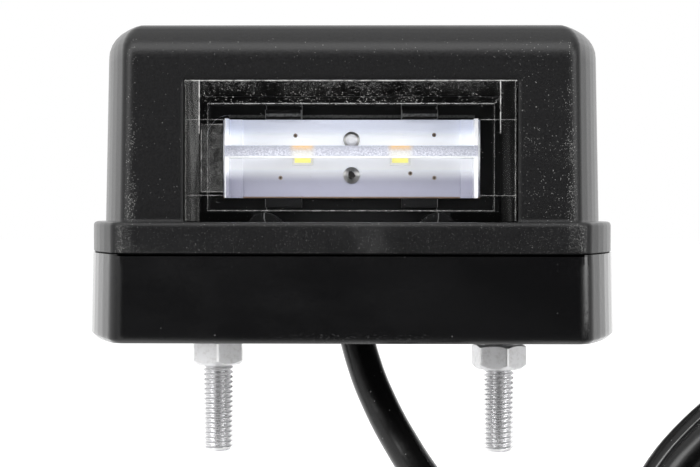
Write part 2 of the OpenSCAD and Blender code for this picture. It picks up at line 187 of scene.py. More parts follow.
# Node graphs
class Graph:
    """A material's node tree, with short calls for the nodes used here."""

    def __init__(self, name):
        self.mat = bpy.data.materials.new(name)
        self.mat.use_nodes = True
        self.tree = self.mat.node_tree
        self.tree.nodes.clear()
        self.out = self.node("ShaderNodeOutputMaterial")
        self.place = self.node("ShaderNodeTexCoord").outputs["Object"]
        self.xyz = self.facing = None

    def node(self, kind, **settings):
        made = self.tree.nodes.new(kind)
        for key, value in settings.items():
            setattr(made, key, value)
        return made

    def join(self, source, socket):
        if isinstance(source, bpy.types.NodeSocket):
            self.tree.links.new(source, socket)
        else:
            socket.default_value = source

    def axis(self, name):
        """X, Y or Z in the part's frame, in millimetres."""
        if self.xyz is None:
            split = self.node("ShaderNodeSeparateXYZ")
            self.join(self.place, split.inputs[0])
            self.xyz = {key: self.math("MULTIPLY", split.outputs[key], 1000.0) for key in "XYZ"}
        return self.xyz[name]

    def normal_axis(self, name):
        if self.facing is None:
            self.facing = self.node("ShaderNodeSeparateXYZ")
            self.join(self.node("ShaderNodeNewGeometry").outputs["Normal"], self.facing.inputs[0])
        return self.facing.outputs[name]

    def length(self, a, b):
        return self.math("SQRT", self.math("MULTIPLY_ADD", a, a, self.math("MULTIPLY", b, b)))

    def away(self, x, z):
        """The distance from a point of the board's face, in millimetres."""
        dx = self.math("SUBTRACT", self.axis("X"), x)
        dz = self.math("SUBTRACT", self.axis("Z"), z)
        return self.length(dx, dz)

    def near_point(self, x, z, radius):
        """1 within radius of a point of the board's face."""
        return self.ramp(self.away(x, z), radius, radius + 0.04, 1.0, 0.0)

    def math(self, operation, a, b=0.0, c=0.0, clamp=False):
        made = self.node("ShaderNodeMath", operation=operation, use_clamp=clamp)
        self.join(a, made.inputs[0])
        self.join(b, made.inputs[1])
        if operation == "MULTIPLY_ADD":
            self.join(c, made.inputs[2])
        return made.outputs[0]

    def ramp(self, value, low, high, to_low=0.0, to_high=1.0):
        made = self.node("ShaderNodeMapRange", interpolation_type="SMOOTHSTEP")
        self.join(value, made.inputs["Value"])
        made.inputs["From Min"].default_value = low
        made.inputs["From Max"].default_value = high
        made.inputs["To Min"].default_value = to_low
        made.inputs["To Max"].default_value = to_high
        return made.outputs[0]

    def noise(self, size, detail=3.0, rough=0.5, stretch=None, distortion=0.0):
        """Noise whose features are about size millimetres across."""
        made = self.node("ShaderNodeTexNoise")
        vector = self.place
        if stretch:
            mapping = self.node("ShaderNodeMapping")
            mapping.inputs["Scale"].default_value = stretch
            self.join(vector, mapping.inputs["Vector"])
            vector = mapping.outputs[0]
        self.join(vector, made.inputs["Vector"])
        made.inputs["Scale"].default_value = 1000.0 / size
        made.inputs["Detail"].default_value = detail
        made.inputs["Roughness"].default_value = rough
        made.inputs["Distortion"].default_value = distortion
        return made.outputs["Fac"]

    def specks(self, size, amount, radius):
        """Scattered round grains, size millimetres apart; amount is the share of them kept."""
        made = self.node("ShaderNodeTexVoronoi")
        self.join(self.place, made.inputs["Vector"])
        made.inputs["Scale"].default_value = 1000.0 / size
        split = self.node("ShaderNodeSeparateColor")
        self.join(made.outputs["Color"], split.inputs[0])
        kept = self.math("LESS_THAN", split.outputs[0], amount)
        reach = self.math("MULTIPLY", split.outputs[1], radius)
        dot = self.math("LESS_THAN", made.outputs["Distance"], reach)
        return self.math("MULTIPLY", kept, dot)

    def mix(self, factor, a, b):
        made = self.node("ShaderNodeMix", data_type="RGBA")
        self.join(factor, made.inputs[0])
        self.join(a, made.inputs[6])
        self.join(b, made.inputs[7])
        return made.outputs[2]

    def bump(self, height, distance, normal=None):
        """A normal tilted by height, which counts for distance millimetres."""
        made = self.node("ShaderNodeBump")
        made.inputs["Strength"].default_value = 1.0
        made.inputs["Distance"].default_value = distance * MM
        self.join(height, made.inputs["Height"])
        if normal is not None:
            self.join(normal, made.inputs["Normal"])
        return made.outputs[0]

    def edges(self, radius):
        """A normal that rounds edges by radius millimetres."""
        made = self.node("ShaderNodeBevel", samples=6)
        made.inputs["Radius"].default_value = radius * MM
        return made.outputs[0]

    def blend_normals(self, factor, a, b):
        made = self.node("ShaderNodeMix", data_type="VECTOR")
        self.join(factor, made.inputs[0])
        self.join(a, made.inputs[4])
        self.join(b, made.inputs[5])
        return made.outputs[1]

    def mix_shaders(self, factor, a, b):
        made = self.node("ShaderNodeMixShader")
        self.join(factor, made.inputs[0])
        self.join(a.outputs[0], made.inputs[1])
        self.join(b.outputs[0], made.inputs[2])
        return made

    def surface(self, **inputs):
        """The principled shader, joined to the output."""
        made = self.node("ShaderNodeBsdfPrincipled")
        for key, value in inputs.items():
            self.join(value, made.inputs[key.replace("_", " ")])
        self.join(made.outputs[0], self.out.inputs["Surface"])
        return made


def grey(v):
    return (v, v, v, 1.0)


def near_box(g, axis, centre, half, soft):
    """1 within half of centre along an axis, falling to 0 over soft."""
    away = g.math("ABSOLUTE", g.math("SUBTRACT", g.axis(axis), centre))
    return g.ramp(away, half, half + soft, 1.0, 0.0)


def box_mask(g, x0, x1, z0, z1, soft):
    """1 in a box of the front view, falling to 0 over soft."""
    across = near_box(g, "X", (x0 + x1) / 2, (x1 - x0) / 2, soft)
    upright = near_box(g, "Z", (z0 + z1) / 2, (z1 - z0) / 2, soft)
    return g.math("MULTIPLY", across, upright)


def strongest(g, values):
    total = values[0]
    for value in values[1:]:
        total = g.math("MAXIMUM", total, value)
    return total


def drawn_lines(g, rows):
    """Boxes of the front view, each (x0, x1, z0, z1, softness, strength)."""
    return strongest(g, [g.math("MULTIPLY", box_mask(g, *row[:5]), row[5]) for row in rows])


def faces_front(g):
    """1 on flat surfaces of the front."""
    return g.ramp(g.normal_axis("Y"), -0.97, -0.85, 1.0, 0.0)


def cover_material():
    """Satin plastic, with dust at the ends of the front, on the rim and along its lower edge."""
    g = Graph("cover_plastic")
    grain = g.noise(0.28, 4.0, 0.6)
    patch = g.ramp(g.noise(5.0, 3.0, 0.6), 0.3, 0.7)
    rim = g.ramp(g.axis("Z"), 17.6, 18.2, 1.0, 0.0)
    hood_left = g.math("MULTIPLY", near_box(g, "X", -33.6, 0.5, 1.6), 0.7)
    hood_right = g.math("MULTIPLY", near_box(g, "X", 33.4, 0.5, 1.4), 0.75)
    field = g.ramp(g.axis("X"), 22.0, 28.0, 0.0, 0.11)
    low = g.ramp(g.axis("Z"), 20.0, 42.0, 1.0, 0.25)
    hood = g.math("MULTIPLY", strongest(g, [hood_left, hood_right, field]), low)
    ends = g.math("MAXIMUM", near_box(g, "X", -35.5, 0.6, 2.0), near_box(g, "X", 35.4, 0.4, 1.2))
    shelf = g.math("MULTIPLY", g.math("MULTIPLY_ADD", ends, 0.45, 0.09), rim)
    lip = g.math("MULTIPLY", near_box(g, "Z", SEAM_Z + 0.1, 0.12, 0.2), 0.6)
    amount = g.math("ADD", strongest(g, [hood, shelf, lip]), 0.012)
    amount = g.math("MULTIPLY", amount, faces_front(g))
    amount = g.math("MULTIPLY", amount, g.math("MULTIPLY_ADD", patch, 0.9, 0.35))
    fine_dust = g.specks(0.14, g.math("MULTIPLY", amount, 1.5), 0.5)
    coarse_dust = g.specks(0.26, g.math("MULTIPLY", amount, 0.8), 0.38)
    dust = g.math("MAXIMUM", fine_dust, coarse_dust)
    smear = g.math("MULTIPLY", near_box(g, "X", 1.6, 1.5, 5.0), rim)
    film = g.math("MULTIPLY_ADD", smear, 0.06, g.math("MULTIPLY", amount, 0.06))
    film = g.math("MULTIPLY", film, patch)
    colour = g.mix(g.ramp(grain, 0.3, 0.75), (0.0055, 0.0055, 0.0058, 1), (0.0095, 0.0095, 0.0098, 1))
    colour = g.mix(film, colour, grey(0.16))
    colour = g.mix(g.math("MULTIPLY", dust, 0.38), colour, (0.3, 0.3, 0.29, 1))
    rough = g.math("MULTIPLY_ADD", grain, 0.12, 0.24)
    rough = g.math("ADD", rough, g.math("MULTIPLY", dust, 0.3), clamp=True)
    # Sharp at the seam and soft above it, with the top edge rounded further
    worn = g.blend_normals(g.ramp(g.axis("Z"), 14.4, 15.2), g.edges(0.15), g.edges(0.9))
    crown = g.ramp(g.axis("Z"), 42.5, 46.8, 1.0, 0.0)
    normal = g.bump(grain, 0.014, g.bump(crown, 0.75, worn))
    normal = g.bump(g.noise(2.2, 2.0), 0.012, normal)
    g.surface(Base_Color=colour, Roughness=rough, Normal=normal, Specular_IOR_Level=0.2)
    return g.mat


def base_material():
    """Glossy plastic, faintly clouded, with a painted sheen to the left and lint along its lower
    edge.
    """
    g = Graph("base_plastic")
    grain = g.noise(0.2, 3.0, 0.6)
    wave = g.noise(1.6, 3.0, 0.55, distortion=0.6)
    low = g.ramp(g.axis("Z"), 1.2, 2.2, 1.0, 0.0)
    middle = near_box(g, "X", 1.0, 6.0, 12.0)
    lint = g.ramp(g.noise(0.3, 4.0, 0.7, stretch=(0.4, 1, 1)), 0.52, 0.7)
    scuff = g.math("MULTIPLY", g.math("MULTIPLY", low, middle), lint)
    dust = g.specks(0.5, 0.04, 0.26)
    cloud = g.ramp(g.noise(9.0, 3.0, 0.6, stretch=(0.5, 1, 1)), 0.35, 0.7)
    rub = g.ramp(g.noise(0.4, 4.0, 0.7, distortion=0.8), 0.3, 0.75, 0.45, 1.0)
    shade = g.math("MULTIPLY", g.math("MULTIPLY_ADD", cloud, 0.6, 0.4), rub)
    # Painted sheen: the front's tone is lighter towards the left
    shade = g.math("MULTIPLY", shade, g.ramp(g.axis("X"), -38.0, 38.0, 1.0, 0.45))
    colour = g.mix(shade, (0.0016, 0.0016, 0.0018, 1), (0.0088, 0.0088, 0.0091, 1))
    colour = g.mix(g.math("MULTIPLY", scuff, 0.09), colour, grey(0.2))
    colour = g.mix(g.math("MULTIPLY", dust, 0.2), colour, grey(0.2))
    # The seam under the rim is dark along the front
    under_rim = g.ramp(g.axis("Z"), SEAM_Z - 0.3, SEAM_Z - 0.24)
    seam = g.math("MULTIPLY", under_rim, faces_front(g))
    colour = g.mix(seam, colour, grey(0.0))
    rough = g.math("MULTIPLY_ADD", grain, 0.06, 0.09)
    rough = g.math("MULTIPLY_ADD", scuff, 0.3, rough)
    worn = g.blend_normals(g.ramp(g.axis("Z"), 11.2, 12.2), g.edges(1.2), g.edges(0.1))
    normal = g.bump(wave, 0.018, worn)
    normal = g.bump(grain, 0.004, normal)
    gloss = g.math("MULTIPLY_ADD", seam, -0.45, 0.45)
    g.surface(Base_Color=colour, Roughness=rough, Normal=normal, Specular_IOR_Level=gloss)
    return g.mat


# Painted highlights of the lens's face and of its well, each x0, x1, z0, z1, softness and strength
FACE_HIGHLIGHTS = (
    (-24.62, -24.54, 18.2, 39.2, 0.03, 0.12),
    (24.42, 24.54, 18.2, 39.2, 0.03, 0.16),
    (-24.8, 24.8, 39.02, 39.14, 0.05, 0.42),
    (-22.64, -22.54, 31.2, 39.2, 0.04, 0.5),
    (22.22, 22.34, 31.2, 39.2, 0.04, 0.45),
    (-24.8, -19.0, 33.22, 33.3, 0.04, 0.16),
    (19.4, 24.8, 33.22, 33.3, 0.04, 0.2),
    (-24.8, -19.0, 21.92, 22.0, 0.04, 0.16),
    (19.4, 24.8, 21.92, 22.0, 0.04, 0.2),
    (-22.32, -22.22, 22.5, 31.6, 0.04, 0.22),
    (-22.3, -19.0, 22.47, 22.55, 0.04, 0.2),
    (-21.6, -19.0, 32.52, 32.6, 0.04, 0.2),
    (-22.3, -19.0, 22.5, 32.6, 0.05, 0.05),
)
WELL_HIGHLIGHTS = (
    (-21.6, -21.5, 19.6, 35.9, 0.04, 0.12),
    (21.5, 21.6, 19.6, 35.9, 0.04, 0.14),
    (-21.6, 21.6, 35.74, 35.92, 0.05, 0.36),
    (-21.6, 21.6, 19.62, 19.74, 0.04, 0.22),
)


def lens_material():
    """Clear plastic with dust, painted highlights on its edges, steps and joint lines, and painted
    gap shadows.
    """
    g = Graph("lens_clear")
    skin = g.ramp(g.axis("Y"), -20.8, -20.4, 1.0, 0.0)
    behind_skin = g.ramp(g.axis("Y"), -20.8, -20.4)
    before_back = g.ramp(g.axis("Y"), -18.0, -17.6, 1.0, 0.0)
    inner = g.math("MULTIPLY", behind_skin, before_back)
    uneven = g.ramp(g.noise(1.1, 4.0, 0.65), 0.35, 0.65, 0.3, 1.0)
    # Painted highlights on the face's cut edges, steps and joint lines, and on the walls of the well
    # behind it
    face_highlights = g.math("MULTIPLY", g.math("MULTIPLY", drawn_lines(g, FACE_HIGHLIGHTS), skin), uneven)
    well = g.math("MULTIPLY", g.math("MULTIPLY", drawn_lines(g, WELL_HIGHLIGHTS), inner), uneven)
    # Painted light streaks on the strips beside the well
    light_streak = g.ramp(g.noise(0.8, 1.0, 0.5, stretch=(1, 1, 0.04)), 0.4, 0.8, 0.02, 0.11)
    sides = g.math("MULTIPLY", g.ramp(g.math("ABSOLUTE", g.axis("X")), 22.4, 22.7), light_streak)
    sides = g.math("MULTIPLY", sides, g.ramp(g.axis("X"), -1.0, 1.0, 1.0, 0.2))
    # Dust in the band above the well
    band = box_mask(g, -22.4, 22.3, 35.9, 39.0, 0.3)
    wide = g.ramp(g.noise(4.0, 3.0), 0.35, 0.7, 0.2, 1.0)
    upper = g.ramp(g.axis("Z"), 36.2, 38.8, 0.45, 1.0)
    amount = g.math("MULTIPLY", g.math("MULTIPLY", band, wide), upper)
    amount = g.math("MULTIPLY_ADD", amount, 0.75, 0.004)
    coarse_dust = g.specks(0.24, g.math("MULTIPLY", amount, 0.35), 0.4)
    dust = g.math("MAXIMUM", g.specks(0.13, amount, 0.5), coarse_dust)
    dust = g.math("MULTIPLY", dust, 0.34)
    haze = g.math("MULTIPLY", amount, g.ramp(g.noise(0.7, 4.0, 0.7), 0.35, 0.75))
    haze = g.math("MULTIPLY", haze, 0.05)
    dust = g.math("MULTIPLY", g.math("MAXIMUM", dust, haze), skin)
    share = strongest(g, [face_highlights, well, g.math("MULTIPLY", sides, skin), dust])
    clear = g.surface(
        Base_Color=(0.97, 0.98, 0.99, 1),
        Roughness=0.0,
        IOR=1.45,
        Transmission_Weight=1.0,
        Specular_IOR_Level=0.25,
        Normal=g.bump(g.noise(6.0, 2.0), 0.002),
    )
    # Painted shadow in the gaps at both ends of the window, below its top corners
    beyond_left = g.ramp(g.axis("X"), -24.74, -24.7, 1.0, 0.0)
    beside = g.math("MAXIMUM", g.ramp(g.axis("X"), 24.66, 24.7), beyond_left)
    gap = g.math("MULTIPLY", beside, g.ramp(g.axis("Z"), 38.2, 38.4, 1.0, 0.0))
    # A dense, dim film shows the same as a thin, bright one and renders with less noise
    film = g.math("MINIMUM", g.math("MULTIPLY", share, 3.0), 0.9)
    tone = g.math("DIVIDE", g.math("MULTIPLY", share, 0.75), g.math("MAXIMUM", film, 0.001))
    # The painted gap shadow makes the film black there
    tone = g.math("MULTIPLY", tone, g.math("SUBTRACT", 1.0, gap))
    # A diffuse film with the dust, the painted highlights and light streaks, and the painted gap
    # shadow
    dust_and_painted_light = g.node("ShaderNodeBsdfDiffuse")
    g.join(g.mix(tone, (0, 0, 0, 1), (1, 1, 0.98, 1)), dust_and_painted_light.inputs["Color"])
    film = g.math("MAXIMUM", film, g.math("MULTIPLY", gap, 0.96))
    clear_with_dust_and_painted_light = g.mix_shaders(film, clear, dust_and_painted_light)
    # Shadows and scattered light pass straight through
    path = g.node("ShaderNodeLightPath")
    lets = g.math("MAXIMUM", path.outputs["Is Shadow Ray"], path.outputs["Is Diffuse Ray"])
    final = g.mix_shaders(lets, clear_with_dust_and_painted_light, g.node("ShaderNodeBsdfTransparent"))
    g.join(final.outputs[0], g.out.inputs["Surface"])
    return g.mat


def carrier_material():
    """Dull plastic. The edges of the clips and the lip above the board catch the light."""
    g = Graph("carrier_plastic")
    grain = g.noise(0.3, 3.0)
    colour = g.mix(grain, (0.001, 0.001, 0.0012, 1), (0.003, 0.003, 0.0033, 1))
    x = g.math("ABSOLUTE", g.axis("X"))
    over = g.ramp(g.axis("Z"), BOARD_Z + 6.2, BOARD_Z + 6.3)
    under = g.ramp(g.axis("Z"), BOARD_Z - 6.3, BOARD_Z - 6.2, 1.0, 0.0)
    lines = []
    for place, where in ((7.8, over), (13.4, g.math("MAXIMUM", over, under))):
        away = g.math("ABSOLUTE", g.math("SUBTRACT", x, place))
        lines.append(g.math("MULTIPLY", g.ramp(away, 0.05, 0.09, 1.0, 0.0), where))
    above_board = near_box(g, "Z", BOARD_Z + 6.75, 0.16, 0.12)
    lip = g.math("MULTIPLY", above_board, near_box(g, "X", 0.0, 19.3, 0.1))
    lines.append(g.math("MULTIPLY", lip, g.ramp(grain, 0.3, 0.6, 0.25, 0.7)))
    colour = g.mix(g.math("MULTIPLY", strongest(g, lines), 0.5), colour, grey(0.3))
    normal = g.bump(grain, 0.012, g.edges(0.15))
    g.surface(Base_Color=colour, Roughness=0.42, Normal=normal, Specular_IOR_Level=0.2)
    return g.mat


def board_light_and_shade(g):
    """Painted light and shade on the board: white by the bar, bluish above it, lavender and darker
    below, with a painted glow.
    """
    z = g.math("SUBTRACT", g.axis("Z"), BOARD_Z)
    upper = g.mix(g.ramp(z, 2.0, 5.2), (0.96, 0.98, 1.0, 1), (0.82, 0.86, 1.0, 1))
    under = g.mix(g.ramp(z, -3.7, -1.4, 1.0, 0.0), (0.95, 0.96, 1.0, 1), (0.37, 0.37, 0.46, 1))
    low = g.ramp(z, -0.5, 0.5, 1.0, 0.0)
    above = g.math("MULTIPLY", g.ramp(z, 2.6, 5.2, 1.0, 0.0), 0.34)
    below = g.math("MULTIPLY", g.ramp(z, -3.4, -0.8), 0.2)
    glow = g.math("MINIMUM", above, g.math("ADD", below, g.ramp(z, -0.5, 0.5)))
    return g.mix(low, upper, under), glow


def board_material():
    """White solder mask with its vias, and bare laminate on the lower edge and the cut sides."""
    g = Graph("board_white")
    fine = g.noise(0.5, 3.0)
    # The board's painted light and shade, and its painted glow
    colour, glow = board_light_and_shade(g)
    colour = g.mix(g.math("MULTIPLY", g.noise(6.0, 2.0), 0.06), colour, (0.6, 0.6, 0.7, 1))
    rings = strongest(g, [g.near_point(x, z, 0.31) for x, z in VIAS])
    holes = strongest(g, [g.near_point(x, z, 0.15) for x, z in VIAS])
    colour = g.mix(rings, colour, (0.3, 0.24, 0.19, 1))
    colour = g.mix(holes, colour, (0.06, 0.04, 0.03, 1))
    glow = g.math("MULTIPLY", glow, g.math("SUBTRACT", 1.0, rings))
    lower = g.ramp(g.axis("Z"), BOARD_LOW + 0.16, BOARD_LOW + 0.26, 1.0, 0.0)
    edge = g.math("LESS_THAN", g.math("ABSOLUTE", g.normal_axis("Y")), 0.5)
    laminate = g.math("MAXIMUM", edge, lower)
    colour = g.mix(laminate, colour, (0.2, 0.13, 0.08, 1))
    dull = g.math("MAXIMUM", laminate, g.math("SUBTRACT", 1.0, glow))
    height = g.math("SUBTRACT", rings, g.math("MULTIPLY", holes, 2.0))
    # The painted glow is given off as emission, except on the laminate
    g.surface(
        Base_Color=colour,
        Roughness=g.math("MULTIPLY_ADD", fine, 0.1, 0.3),
        Normal=g.bump(height, 0.04, g.bump(fine, 0.004)),
        Emission_Color=g.mix(dull, GLOW, (0, 0, 0, 1)),
        Emission_Strength=1.0,
    )
    return g.mat


def bar_material():
    """Frosted bar, in which the diodes show, and its end frames, painted with the board's light,
    shade and glow.
    """
    g = Graph("bar_frosted")
    spark = g.noise(0.25, 3.0, 0.75)
    z = g.math("SUBTRACT", g.axis("Z"), BAR_Z - 0.95)
    colour = g.mix(g.ramp(spark, 0.35, 0.65), (0.42, 0.43, 0.52, 1), (0.84, 0.85, 0.92, 1))
    # Painted shade, darker towards the top of the bar
    shade = g.math("MULTIPLY", g.ramp(z, 0.7, 1.8), 0.6)
    colour = g.mix(shade, colour, (0.42, 0.42, 0.5, 1))
    # Each diode is an orange patch over a pale one, both mottled like the bar
    x = g.math("ABSOLUTE", g.math("SUBTRACT", g.math("ABSOLUTE", g.axis("X")), LED_X))
    beside = g.ramp(g.math("ADD", x, g.math("MULTIPLY", spark, 0.5)), 1.3, 2.5, 1.0, 0.0)
    mottle = g.ramp(spark, 0.35, 0.65, 0.95, 0.55)
    upper = g.math("MULTIPLY", g.ramp(z, 0.8, 1.7), beside)
    lower = g.math("MULTIPLY", g.ramp(z, 0.6, 1.5, 0.7, 0.0), beside)
    colour = g.mix(g.math("MULTIPLY", upper, mottle), colour, (0.95, 0.6, 0.24, 1))
    colour = g.mix(g.math("MULTIPLY", lower, mottle), colour, (1.0, 0.96, 0.82, 1))
    in_bar = near_box(g, "Z", BAR_Z, 0.96, 0.03)
    # Painted highlight along the bar's lower edge
    lower_edge = g.math("MULTIPLY", g.ramp(z, 0.2, 0.3, 1.0, 0.0), in_bar)
    colour = g.mix(lower_edge, colour, (1.0, 1.0, 1.0, 1))
    # The clear end frames take the board's painted light, shade and glow, and their walls a painted
    # highlight
    frames, glow = board_light_and_shade(g)
    left_wall = g.ramp(g.axis("X"), -19.4, -19.3, 1.0, 0.0)
    wall = g.math("MAXIMUM", g.ramp(g.axis("X"), 18.85, 18.95), left_wall)
    frames = g.mix(wall, frames, (0.98, 0.98, 1.0, 1))
    colour = g.mix(in_bar, frames, colour)
    dull = g.math("MAXIMUM", in_bar, g.math("SUBTRACT", 1.0, glow))
    dull = g.math("MAXIMUM", dull, wall)
    g.surface(
        Base_Color=colour,
        Roughness=0.4,
        IOR=1.45,
        Transmission_Weight=g.math("MULTIPLY", in_bar, 0.2),
        Normal=g.bump(g.math("MULTIPLY", spark, in_bar), 0.1),
        Emission_Color=g.mix(dull, GLOW, (0, 0, 0, 1)),
        Emission_Strength=1.0,
    )
    return g.mat


def diode_material():
    """White package round a patch of yellow phosphor, which has a painted glow."""
    g = Graph("diode_package")
    x = g.math("ABSOLUTE", g.math("SUBTRACT", g.math("ABSOLUTE", g.axis("X")), LED_X))
    z = g.math("ABSOLUTE", g.math("SUBTRACT", g.axis("Z"), LED_Z))
    patch = g.math("MULTIPLY", g.ramp(x, 1.22, 1.27, 1.0, 0.0), g.ramp(z, 0.97, 1.02, 1.0, 0.0))
    fine = g.noise(0.15, 2.0)
    phosphor = g.mix(fine, (1.0, 0.93, 0.22, 1), (1.0, 0.98, 0.42, 1))
    g.surface(
        Base_Color=g.mix(patch, (0.95, 0.94, 0.9, 1), phosphor),
        Roughness=0.3,
        Normal=g.bump(fine, 0.01),
        # Painted glow of the phosphor; the diode is not lit
        Emission_Color=g.mix(patch, (0, 0, 0, 1), phosphor),
        Emission_Strength=0.35,
    )
    return g.mat


def solder_material():
    """Tin, white in the middle of the upper joint and dark in the middle of the lower one."""
    g = Graph("solder_tin")
    fine = g.noise(0.3, 3.0)
    ragged = g.math("MULTIPLY_ADD", g.noise(0.6, 4.0, 0.7), 1.1, -0.55)
    in_lower, in_upper = (g.away(0.0, z) for z in JOINTS_Z)
    white = g.ramp(in_upper, 0.8, 1.0, 1.0, 0.0)
    dark = g.ramp(g.math("ADD", in_lower, ragged), 0.5, 0.64, 1.0, 0.0)
    colour = g.mix(white, (0.6, 0.59, 0.57, 1), (0.9, 0.9, 0.92, 1))
    colour = g.mix(dark, colour, (0.015, 0.013, 0.012, 1))
    bare = g.math("SUBTRACT", 1.0, g.math("MAXIMUM", white, dark))
    g.surface(Base_Color=colour, Metallic=bare, Roughness=0.28, Normal=g.bump(fine, 0.05))
    return g.mat


def metal_material():
    """Bright zinc plate: clean on the threads, mottled on the nuts, with painted highlights on their
    corners.
    """
    g = Graph("zinc_steel")
    fine = g.noise(0.35, 4.0, 0.6)
    lowest = -NUT_GAPS[1] - NUT_H
    on_nut = g.ramp(g.axis("Z"), lowest - 0.05, lowest + 0.05)
    stain = g.math("MULTIPLY", g.ramp(g.noise(0.9, 5.0, 0.7), 0.45, 0.7), on_nut)
    middle = (STUD_X[0] + STUD_X[1]) / 2
    spread = (STUD_X[1] - STUD_X[0]) / 2
    dx = g.math("ABSOLUTE", g.math("SUBTRACT", g.axis("X"), middle))
    dx = g.math("SUBTRACT", dx, spread)
    # Painted highlights along the nuts' corners
    corner = g.math("MULTIPLY", g.ramp(g.length(dx, g.axis("Y")), 4.48, 4.53), on_nut)
    colour = g.mix(g.math("MULTIPLY", stain, 0.6), (0.71, 0.71, 0.72, 1), (0.5325, 0.5254, 0.5184, 1))
    colour = g.mix(corner, colour, (0.98, 0.98, 0.98, 1))
    rough = g.math("MULTIPLY_ADD", fine, 0.16, g.math("MULTIPLY_ADD", on_nut, 0.14, 0.14))
    rough = g.math("MULTIPLY_ADD", stain, 0.1, rough)
    height = g.math("MULTIPLY", fine, g.math("MULTIPLY_ADD", on_nut, 0.8, 0.2))
    # The painted corner highlights are not metallic
    metal = g.math("MULTIPLY_ADD", corner, -0.8, 0.8)
    g.surface(Base_Color=colour, Metallic=metal, Roughness=rough, Normal=g.bump(height, 0.014))
    return g.mat


def soft_material(name, low, high, rough, size, depth, gloss=0.5):
    """Plain plastic or rubber between two tones, with grain of one size and a little dust."""
    g = Graph(name)
    fine = g.noise(size, 3.0, 0.55)
    dust = g.math("MULTIPLY", g.specks(0.6, 0.06, 0.3), 0.3)
    g.surface(
        Base_Color=g.mix(dust, g.mix(fine, low, high), grey(0.3)),
        Roughness=g.math("MULTIPLY_ADD", fine, 0.15, rough),
        Normal=g.bump(fine, depth),
        Specular_IOR_Level=gloss,
    )
    return g.mat


def core_material(name, low, high):
    """Coloured insulation with the tinned strands beyond its cut end."""
    g = Graph(name)
    fine = g.noise(0.4, 3.0)
    end = g.math("GREATER_THAN", g.axis("X"), COIL_CENTRE.x + TAIL_LEN + CORES_OUT)
    colour = g.mix(fine, low, high)
    colour = g.mix(end, colour, (0.72, 0.7, 0.66, 1))
    strands = g.noise(0.16, 1.0, 0.4, stretch=(0.05, 1, 1))
    height = g.math("MULTIPLY", end, strands)
    g.surface(
        Base_Color=colour,
        Metallic=end,
        Roughness=0.34,
        Normal=g.bump(height, 0.12, g.bump(fine, 0.008)),
    )
    return g.mat


# Two tones, roughness, grain size and depth of the grain
SOFT = {
    "wire_red": ((0.32, 0.012, 0.008, 1), (0.45, 0.02, 0.012, 1), 0.3, 0.5, 0.01),
    "wire_black": (grey(0.01), grey(0.02), 0.3, 0.5, 0.01),
    "component_black": (grey(0.012), grey(0.025), 0.45, 0.15, 0.01),
    "grommet_rubber": (grey(0.008), grey(0.015), 0.55, 0.3, 0.012),
    "cable_jacket": (grey(0.0008), grey(0.0016), 0.16, 0.6, 0.006, 0.36),
    "tie_nylon": (grey(0.01), grey(0.018), 0.4, 0.4, 0.01),
}
MATERIALS = {
    "cover_plastic": cover_material(),
    "base_plastic": base_material(),
    "lens_clear": lens_material(),
    "carrier_plastic": carrier_material(),
    "board_white": board_material(),
    "bar_frosted": bar_material(),
    "diode_package": diode_material(),
    "solder_tin": solder_material(),
    "zinc_steel": metal_material(),
    "core_brown": core_material("core_brown", (0.12, 0.035, 0.012, 1), (0.18, 0.055, 0.02, 1)),
    "core_blue": core_material("core_blue", (0.015, 0.06, 0.26, 1), (0.03, 0.1, 0.36, 1)),
}
for name, values in SOFT.items():
    MATERIALS[name] = soft_material(name, *values)

for part in frame["record"]["subparts"]:
    node = nodes[part["node"]]
    for held in node.material_slots:
        held.material = MATERIALS[part["material_slot"]]


def add_piece(obj, slot, *replaced):
    """Makes an object a piece of the lamp, in place of the solids named."""
    obj.data.materials.append(MATERIALS[slot])
    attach(obj, "root")
    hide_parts(*replaced)
    return obj


def add_block(verts, faces, half, levels, place):
    """A block from (height, inset) levels; place takes its own millimetres to the part's."""
    start = len(verts)
    for z, inset in levels:
        for x, y in SQUARE:
            verts.append(place(x * (half[0] - inset), y * (half[1] - inset), z))
    faces.append((start, start + 3, start + 2, start + 1))
    for k in range(0, 4 * len(levels) - 4, 4):
        for i in range(4):
            a = start + k + i
            b = start + k + (i + 1) % 4
            faces.append((a, b, b + 4, a + 4))
    last = start + 4 * len(levels) - 4
    faces.append((last, last + 1, last + 2, last + 3))


